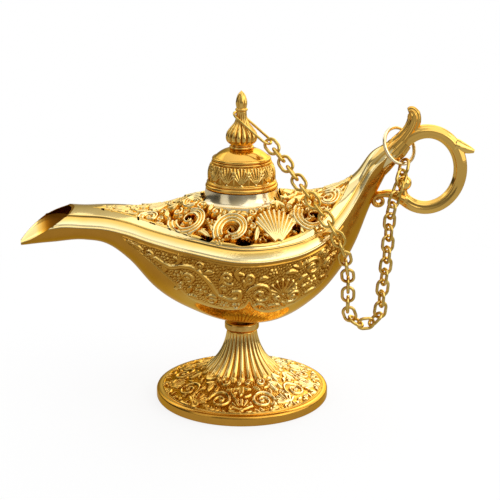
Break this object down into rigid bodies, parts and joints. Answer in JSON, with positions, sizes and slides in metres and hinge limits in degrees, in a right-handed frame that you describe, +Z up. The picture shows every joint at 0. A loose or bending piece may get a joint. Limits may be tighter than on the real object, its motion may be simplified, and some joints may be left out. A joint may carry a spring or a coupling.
{
  "type": "genie oil lamp",
  "caption": "Ornate cast-metal genie lamp with a long curved spout, pierced deck, domed lift-off lid on a safety chain, looped handle and round pedestal foot.",
  "frame": {"origin": "centre of the foot's underside, where the lamp stands", "axes": "+Z up along the foot and lid axis, +X towards the handle, -X towards the spout"},
  "size_m": [0.1199, 0.0472, 0.0845],
  "materials": {
    "gold": "polished gold plate on cast metal",
    "chain": "polished gold-plated wire",
    "fixing": "plain zinc-plated steel"
  },
  "bodies": {
    "lamp": {"bowl": "gold", "spout": "gold", "deck": "gold", "neck_ring": "gold", "foot": "gold", "foot_collar": "gold", "foot_screw": "fixing", "foot_washer": "fixing", "bowl_nut": "fixing", "handle": "gold"},
    "finial_loop": {"finial_loop": "chain"},
    "lid": {"lid": "gold", "finial": "gold", "finial_nut": "fixing"},
    "chain_ring": {"chain_ring": "chain"},
    "chain_link_01": {"chain_link_01": "chain"},
    "chain_link_02": {"chain_link_02": "chain"},
    "chain_link_03": {"chain_link_03": "chain"},
    "chain_link_04": {"chain_link_04": "chain"},
    "chain_link_05": {"chain_link_05": "chain"},
    "chain_link_06": {"chain_link_06": "chain"},
    "chain_link_07": {"chain_link_07": "chain"},
    "chain_link_08": {"chain_link_08": "chain"},
    "chain_link_09": {"chain_link_09": "chain"},
    "chain_link_10": {"chain_link_10": "chain"},
    "chain_link_11": {"chain_link_11": "chain"},
    "chain_link_12": {"chain_link_12": "chain"},
    "chain_link_13": {"chain_link_13": "chain"},
    "chain_link_14": {"chain_link_14": "chain"},
    "chain_link_15": {"chain_link_15": "chain"},
    "chain_link_16": {"chain_link_16": "chain"},
    "chain_link_17": {"chain_link_17": "chain"},
    "chain_link_18": {"chain_link_18": "chain"},
    "chain_link_19": {"chain_link_19": "chain"},
    "chain_link_20": {"chain_link_20": "chain"},
    "chain_link_21": {"chain_link_21": "chain"},
    "chain_link_22": {"chain_link_22": "chain"},
    "chain_link_23": {"chain_link_23": "chain"},
    "chain_link_24": {"chain_link_24": "chain"},
    "chain_link_25": {"chain_link_25": "chain"},
    "chain_link_26": {"chain_link_26": "chain"},
    "chain_link_27": {"chain_link_27": "chain"},
    "chain_link_28": {"chain_link_28": "chain"},
    "chain_link_29": {"chain_link_29": "chain"},
    "chain_link_30": {"chain_link_30": "chain"},
    "chain_link_31": {"chain_link_31": "chain"},
    "chain_link_32": {"chain_link_32": "chain"},
    "chain_link_33": {"chain_link_33": "chain"},
    "chain_link_34": {"chain_link_34": "chain"},
    "chain_link_35": {"chain_link_35": "chain"},
    "chain_link_36": {"chain_link_36": "chain"}
  },
  "joints": [
    {"name": "lid_lift", "type": "slide", "parent": "lamp", "child": "finial_loop", "axis": [0, 0, 1], "range_m": [0, 0.0065]},
    {"name": "lid_turn", "type": "hinge", "parent": "finial_loop", "child": "lid", "pos_m": [0, 0, 0.0587], "axis": [0, 0, 1], "continuous": true},
    {"name": "ring_turn", "type": "hinge", "parent": "lamp", "child": "chain_ring", "pos_m": [0.04155, 0, 0.06986], "axis": [0.5455, -0.7071, 0.4499], "continuous": true},
    {"name": "chain_link_01_lift", "type": "slide", "parent": "lamp", "child": "chain_link_01", "axis": [0, 0, 1], "range_m": [0, 0.00636]},
    {"name": "chain_link_02_lift", "type": "slide", "parent": "lamp", "child": "chain_link_02", "axis": [0, 0, 1], "range_m": [0, 0.00618]},
    {"name": "chain_link_03_lift", "type": "slide", "parent": "lamp", "child": "chain_link_03", "axis": [0, 0, 1], "range_m": [0, 0.00599]},
    {"name": "chain_link_04_lift", "type": "slide", "parent": "lamp", "child": "chain_link_04", "axis": [0, 0, 1], "range_m": [0, 0.00581]},
    {"name": "chain_link_05_lift", "type": "slide", "parent": "lamp", "child": "chain_link_05", "axis": [0, 0, 1], "range_m": [0, 0.00562]},
    {"name": "chain_link_06_lift", "type": "slide", "parent": "lamp", "child": "chain_link_06", "axis": [0, 0, 1], "range_m": [0, 0.00544]},
    {"name": "chain_link_07_lift", "type": "slide", "parent": "lamp", "child": "chain_link_07", "axis": [0, 0, 1], "range_m": [0, 0.00525]},
    {"name": "chain_link_08_lift", "type": "slide", "parent": "lamp", "child": "chain_link_08", "axis": [0, 0, 1], "range_m": [0, 0.00506]},
    {"name": "chain_link_09_lift", "type": "slide", "parent": "lamp", "child": "chain_link_09", "axis": [0, 0, 1], "range_m": [0, 0.00488]},
    {"name": "chain_link_10_lift", "type": "slide", "parent": "lamp", "child": "chain_link_10", "axis": [0, 0, 1], "range_m": [0, 0.00469]},
    {"name": "chain_link_11_lift", "type": "slide", "parent": "lamp", "child": "chain_link_11", "axis": [0, 0, 1], "range_m": [0, 0.00451]},
    {"name": "chain_link_12_lift", "type": "slide", "parent": "lamp", "child": "chain_link_12", "axis": [0, 0, 1], "range_m": [0, 0.00432]},
    {"name": "chain_link_13_lift", "type": "slide", "parent": "lamp", "child": "chain_link_13", "axis": [0, 0, 1], "range_m": [0, 0.00414]},
    {"name": "chain_link_14_lift", "type": "slide", "parent": "lamp", "child": "chain_link_14", "axis": [0, 0, 1], "range_m": [0, 0.00395]},
    {"name": "chain_link_15_lift", "type": "slide", "parent": "lamp", "child": "chain_link_15", "axis": [0, 0, 1], "range_m": [0, 0.00376]},
    {"name": "chain_link_16_lift", "type": "slide", "parent": "lamp", "child": "chain_link_16", "axis": [0, 0, 1], "range_m": [0, 0.00358]},
    {"name": "chain_link_17_lift", "type": "slide", "parent": "lamp", "child": "chain_link_17", "axis": [0, 0, 1], "range_m": [0, 0.00339]},
    {"name": "chain_link_18_lift", "type": "slide", "parent": "lamp", "child": "chain_link_18", "axis": [0, 0, 1], "range_m": [0, 0.00321]},
    {"name": "chain_link_19_lift", "type": "slide", "parent": "lamp", "child": "chain_link_19", "axis": [0, 0, 1], "range_m": [0, 0.00302]},
    {"name": "chain_link_20_lift", "type": "slide", "parent": "lamp", "child": "chain_link_20", "axis": [0, 0, 1], "range_m": [0, 0.00302]},
    {"name": "chain_link_21_lift", "type": "slide", "parent": "lamp", "child": "chain_link_21", "axis": [0, 0, 1], "range_m": [0, 0.00284]},
    {"name": "chain_link_22_lift", "type": "slide", "parent": "lamp", "child": "chain_link_22", "axis": [0, 0, 1], "range_m": [0, 0.00284]},
    {"name": "chain_link_23_lift", "type": "slide", "parent": "lamp", "child": "chain_link_23", "axis": [0, 0, 1], "range_m": [0, 0.00265]},
    {"name": "chain_link_24_lift", "type": "slide", "parent": "lamp", "child": "chain_link_24", "axis": [0, 0, 1], "range_m": [0, 0.00246]},
    {"name": "chain_link_25_lift", "type": "slide", "parent": "lamp", "child": "chain_link_25", "axis": [0, 0, 1], "range_m": [0, 0.00228]},
    {"name": "chain_link_26_lift", "type": "slide", "parent": "lamp", "child": "chain_link_26", "axis": [0, 0, 1], "range_m": [0, 0.00209]},
    {"name": "chain_link_27_lift", "type": "slide", "parent": "lamp", "child": "chain_link_27", "axis": [0, 0, 1], "range_m": [0, 0.00191]},
    {"name": "chain_link_28_lift", "type": "slide", "parent": "lamp", "child": "chain_link_28", "axis": [0, 0, 1], "range_m": [0, 0.00172]},
    {"name": "chain_link_29_lift", "type": "slide", "parent": "lamp", "child": "chain_link_29", "axis": [0, 0, 1], "range_m": [0, 0.00154]},
    {"name": "chain_link_30_lift", "type": "slide", "parent": "lamp", "child": "chain_link_30", "axis": [0, 0, 1], "range_m": [0, 0.00135]},
    {"name": "chain_link_31_lift", "type": "slide", "parent": "lamp", "child": "chain_link_31", "axis": [0, 0, 1], "range_m": [0, 0.00116]},
    {"name": "chain_link_32_lift", "type": "slide", "parent": "lamp", "child": "chain_link_32", "axis": [0, 0, 1], "range_m": [0, 0.000979]},
    {"name": "chain_link_33_lift", "type": "slide", "parent": "lamp", "child": "chain_link_33", "axis": [0, 0, 1], "range_m": [0, 0.000793]},
    {"name": "chain_link_34_lift", "type": "slide", "parent": "lamp", "child": "chain_link_34", "axis": [0, 0, 1], "range_m": [0, 0.000607]},
    {"name": "chain_link_35_lift", "type": "slide", "parent": "lamp", "child": "chain_link_35", "axis": [0, 0, 1], "range_m": [0, 0.000421]},
    {"name": "chain_link_36_lift", "type": "slide", "parent": "lamp", "child": "chain_link_36", "axis": [0, 0, 1], "range_m": [0, 0.000236]}
  ],
  "couplings": [
    {"joint": "chain_link_01_lift", "follows": "lid_lift", "ratio": 0.97143},
    {"joint": "chain_link_02_lift", "follows": "lid_lift", "ratio": 0.94286},
    {"joint": "chain_link_03_lift", "follows": "lid_lift", "ratio": 0.91429},
    {"joint": "chain_link_04_lift", "follows": "lid_lift", "ratio": 0.88571},
    {"joint": "chain_link_05_lift", "follows": "lid_lift", "ratio": 0.85714},
    {"joint": "chain_link_06_lift", "follows": "lid_lift", "ratio": 0.82857},
    {"joint": "chain_link_07_lift", "follows": "lid_lift", "ratio": 0.8},
    {"joint": "chain_link_08_lift", "follows": "lid_lift", "ratio": 0.77143},
    {"joint": "chain_link_09_lift", "follows": "lid_lift", "ratio": 0.74286},
    {"joint": "chain_link_10_lift", "follows": "lid_lift", "ratio": 0.71429},
    {"joint": "chain_link_11_lift", "follows": "lid_lift", "ratio": 0.68571},
    {"joint": "chain_link_12_lift", "follows": "lid_lift", "ratio": 0.65714},
    {"joint": "chain_link_13_lift", "follows": "lid_lift", "ratio": 0.62857},
    {"joint": "chain_link_14_lift", "follows": "lid_lift", "ratio": 0.6},
    {"joint": "chain_link_15_lift", "follows": "lid_lift", "ratio": 0.57143},
    {"joint": "chain_link_16_lift", "follows": "lid_lift", "ratio": 0.54286},
    {"joint": "chain_link_17_lift", "follows": "lid_lift", "ratio": 0.51429},
    {"joint": "chain_link_18_lift", "follows": "lid_lift", "ratio": 0.48571},
    {"joint": "chain_link_19_lift", "follows": "lid_lift", "ratio": 0.45714},
    {"joint": "chain_link_20_lift", "follows": "lid_lift", "ratio": 0.45714},
    {"joint": "chain_link_21_lift", "follows": "lid_lift", "ratio": 0.42857},
    {"joint": "chain_link_22_lift", "follows": "lid_lift", "ratio": 0.42857},
    {"joint": "chain_link_23_lift", "follows": "lid_lift", "ratio": 0.4},
    {"joint": "chain_link_24_lift", "follows": "lid_lift", "ratio": 0.37143},
    {"joint": "chain_link_25_lift", "follows": "lid_lift", "ratio": 0.34286},
    {"joint": "chain_link_26_lift", "follows": "lid_lift", "ratio": 0.31429},
    {"joint": "chain_link_27_lift", "follows": "lid_lift", "ratio": 0.28571},
    {"joint": "chain_link_28_lift", "follows": "lid_lift", "ratio": 0.25714},
    {"joint": "chain_link_29_lift", "follows": "lid_lift", "ratio": 0.22857},
    {"joint": "chain_link_30_lift", "follows": "lid_lift", "ratio": 0.2},
    {"joint": "chain_link_31_lift", "follows": "lid_lift", "ratio": 0.17143},
    {"joint": "chain_link_32_lift", "follows": "lid_lift", "ratio": 0.14286},
    {"joint": "chain_link_33_lift", "follows": "lid_lift", "ratio": 0.11429},
    {"joint": "chain_link_34_lift", "follows": "lid_lift", "ratio": 0.085714},
    {"joint": "chain_link_35_lift", "follows": "lid_lift", "ratio": 0.057143},
    {"joint": "chain_link_36_lift", "follows": "lid_lift", "ratio": 0.028571}
  ]
}
